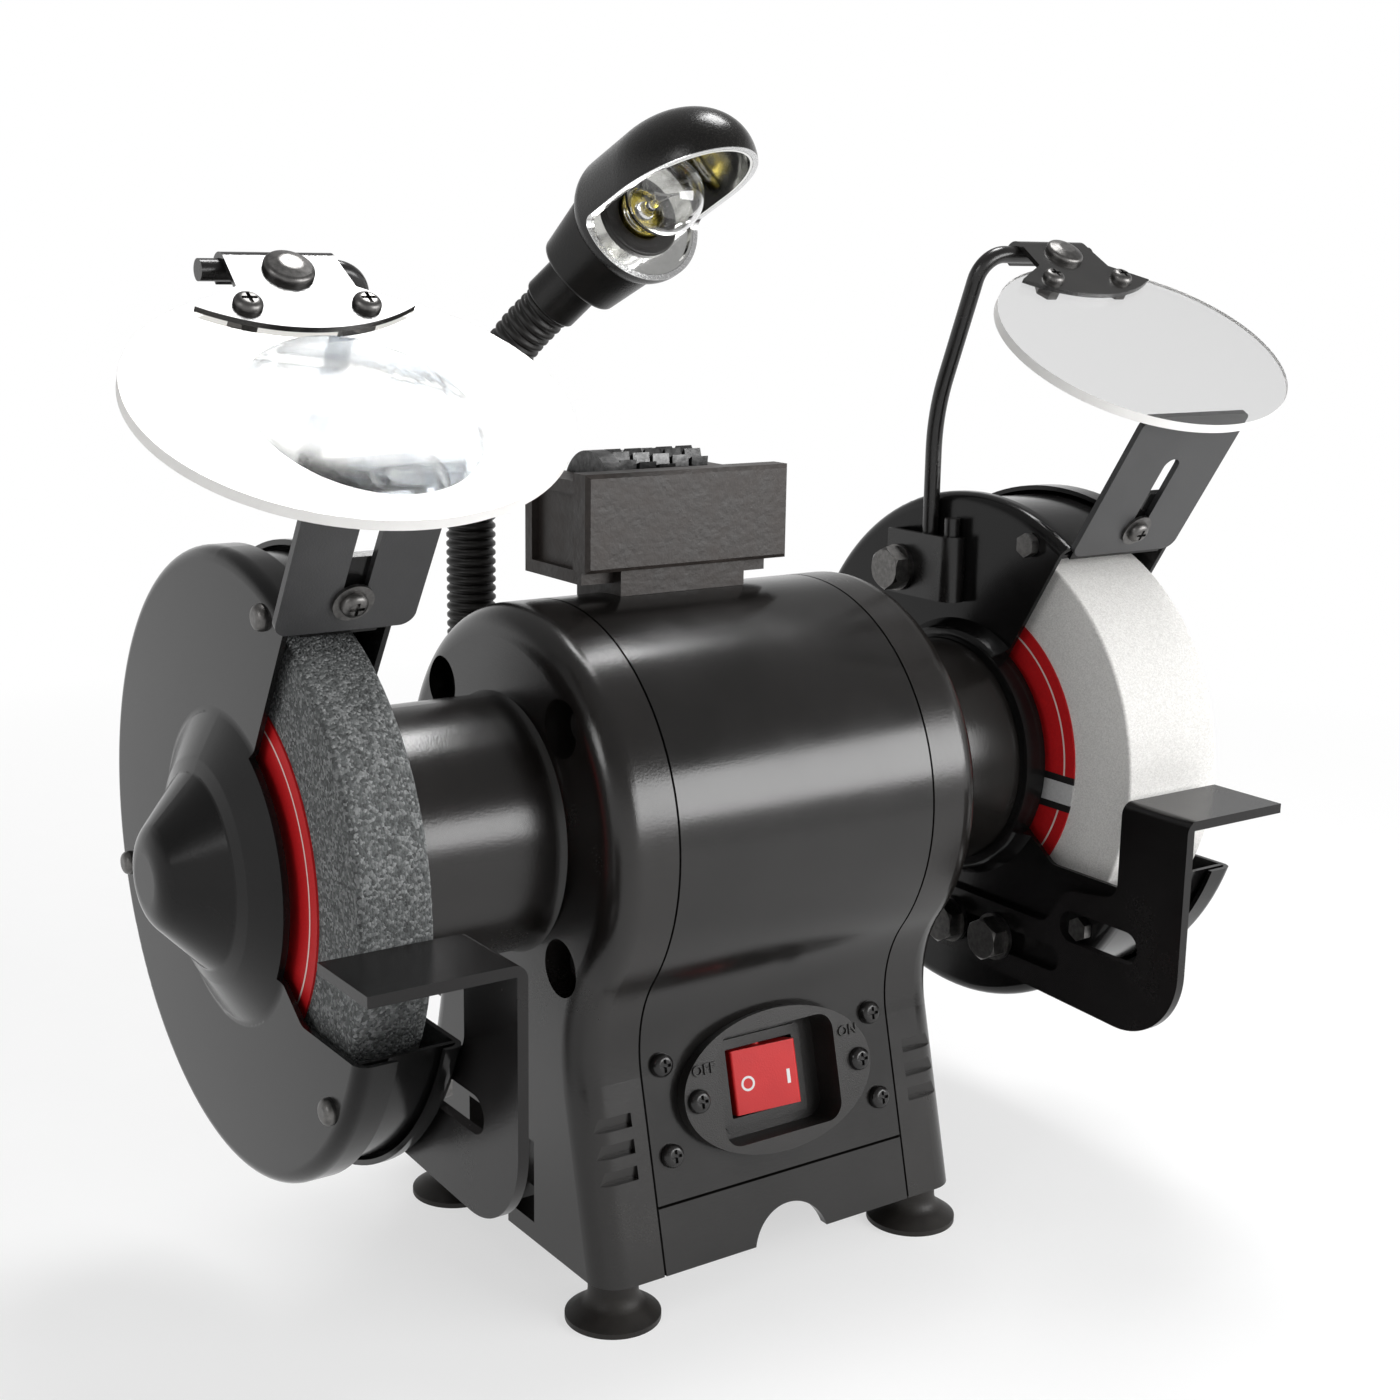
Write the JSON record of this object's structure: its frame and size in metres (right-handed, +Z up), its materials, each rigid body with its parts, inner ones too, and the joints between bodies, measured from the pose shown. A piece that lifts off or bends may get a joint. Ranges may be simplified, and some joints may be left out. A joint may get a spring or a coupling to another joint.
{
  "type": "bench grinder",
  "caption": "Double-ended bench grinder with guarded wheels, tool rests, spark arrestors, tilting eye shields, rocker switch, bendable lamp and a stored wheel dresser.",
  "frame": {"origin": "on the bench under the middle of the motor", "axes": "+X along the spindle towards the wide wheel, -Y the front with the switch, +Z up"},
  "size_m": [0.3917, 0.194, 0.3451],
  "materials": {
    "black_paint": "satin black paint",
    "grey_paint": "dark grey hammered paint",
    "black_plastic": "black moulded plastic",
    "red_plastic": "red translucent switch key",
    "rubber": "black rubber",
    "zinc": "zinc plated steel",
    "black_steel": "black oxide steel",
    "steel": "ground steel",
    "copper": "enamelled copper wire",
    "grey_abrasive": "coarse grey vitrified abrasive",
    "white_abrasive": "fine white vitrified abrasive",
    "label_paper": "red paper label",
    "clear_sheet": "clear polycarbonate sheet",
    "clear_glass": "clear lamp glass",
    "bright_metal": "bright reflector metal",
    "brass": "brass cap",
    "iron": "black cast iron"
  },
  "bodies": {
    "grinder": {"motor_cover": "black_paint", "base_apron": "black_paint", "left_end_bell": "black_paint", "right_end_bell": "black_paint", "rubber_feet": "rubber", "tie_bolts": "black_steel", "stator_core": "steel", "stator_windings": "copper", "capacitor": "black_plastic", "cord_gland": "black_plastic", "switch_bezel": "black_plastic", "switch_case": "black_plastic", "panel_screws": "black_steel", "bearing_outer_rings": "steel", "left_guard": "black_paint", "right_guard": "black_paint", "left_guard_cover": "black_paint", "right_guard_cover": "black_paint", "guard_screws": "black_steel", "rest_bolts": "zinc", "arrestor_screws": "black_steel", "left_rod_clamp": "black_steel", "right_rod_clamp": "black_steel", "clamp_bolts": "zinc", "lamp_mount": "black_paint", "dresser_holder": "iron"},
    "spindle": {"spindle": "steel", "rotor_core": "steel", "bearing_inner_rings": "steel", "left_wheel": "grey_abrasive", "right_wheel": "white_abrasive", "wheel_blotters": "label_paper", "wheel_flanges": "zinc", "spindle_nuts": "zinc"},
    "switch_key": {"switch_rocker": "red_plastic"},
    "left_rest": {"left_tool_rest": "black_paint"},
    "right_rest": {"right_tool_rest": "black_paint"},
    "left_arrestor": {"left_spark_arrestor": "grey_paint"},
    "right_arrestor": {"right_spark_arrestor": "grey_paint"},
    "left_rod": {"left_shield_rod": "black_steel"},
    "right_rod": {"right_shield_rod": "black_steel"},
    "left_shield": {"left_shield_bracket": "black_steel", "left_shield_fasteners": "zinc", "left_eye_shield": "clear_sheet", "magnifier_lens": "clear_sheet"},
    "right_shield": {"right_shield_bracket": "black_steel", "right_shield_fasteners": "zinc", "right_eye_shield": "clear_sheet"},
    "lamp_stem": {"lamp_arm": "black_steel"},
    "lamp_head": {"lamp_neck": "black_plastic", "lamp_socket": "black_plastic", "lamp_hood": "black_paint", "lamp_reflector": "bright_metal", "lamp_holder": "black_plastic", "bulb_base": "brass", "lamp_bulb": "clear_glass"},
    "dresser": {"dresser_body": "iron", "dresser_pin": "steel"},
    "cutters": {"dresser_cutters": "iron"}
  },
  "joints": [
    {"name": "spindle_spin", "type": "hinge", "parent": "grinder", "child": "spindle", "pos_m": [0, 0, 0.14], "axis": [1, 0, 0], "continuous": true},
    {"name": "switch_tip", "type": "hinge", "parent": "grinder", "child": "switch_key", "pos_m": [0, -0.04022, 0.05906], "axis": [0, 0.2419, 0.9703], "range_deg": [0, 16]},
    {"name": "left_rest_slide", "type": "slide", "parent": "grinder", "child": "left_rest", "axis": [0, 1, 0], "range_m": [-0.0035, 0.0035]},
    {"name": "left_arrestor_slide", "type": "slide", "parent": "grinder", "child": "left_arrestor", "axis": [0, 0.5299, -0.848], "range_m": [0, 0.008]},
    {"name": "right_rest_slide", "type": "slide", "parent": "grinder", "child": "right_rest", "axis": [0, 1, 0], "range_m": [-0.0035, 0.0035]},
    {"name": "right_arrestor_slide", "type": "slide", "parent": "grinder", "child": "right_arrestor", "axis": [0, 0.5299, -0.848], "range_m": [0, 0.008]},
    {"name": "left_rod_slide", "type": "slide", "parent": "grinder", "child": "left_rod", "axis": [0, -0.2062, 0.9785], "range_m": [0, 0.012]},
    {"name": "right_rod_slide", "type": "slide", "parent": "grinder", "child": "right_rod", "axis": [0, 0, 1], "range_m": [0, 0.012]},
    {"name": "left_shield_tilt", "type": "hinge", "parent": "left_rod", "child": "left_shield", "pos_m": [-0.14317, -0.02622, 0.29847], "axis": [-1, 0, 0], "range_deg": [0, 60]},
    {"name": "right_shield_tilt", "type": "hinge", "parent": "right_rod", "child": "right_shield", "pos_m": [0.13847, -0.0046, 0.3048], "axis": [-1, 0, 0], "range_deg": [0, 60]},
    {"name": "lamp_swivel", "type": "hinge", "parent": "grinder", "child": "lamp_stem", "pos_m": [-0.036, 0.0731, 0.076], "axis": [0, 0, 1], "range_deg": [-30, 40]},
    {"name": "lamp_bend", "type": "hinge", "parent": "lamp_stem", "child": "lamp_head", "pos_m": [-0.03284, 0.06811, 0.25908], "axis": [0.8443, 0.5358, 0], "range_deg": [-20, 15], "deforming": ["lamp_arm"]},
    {"name": "dresser_lift", "type": "slide", "parent": "grinder", "child": "dresser", "axis": [0, 0, 1], "range_m": [0, 0.03]},
    {"name": "cutter_spin", "type": "hinge", "parent": "dresser", "child": "cutters", "pos_m": [-0.0045, 0.021, 0.231], "axis": [1, 0, 0], "continuous": true}
  ]
}
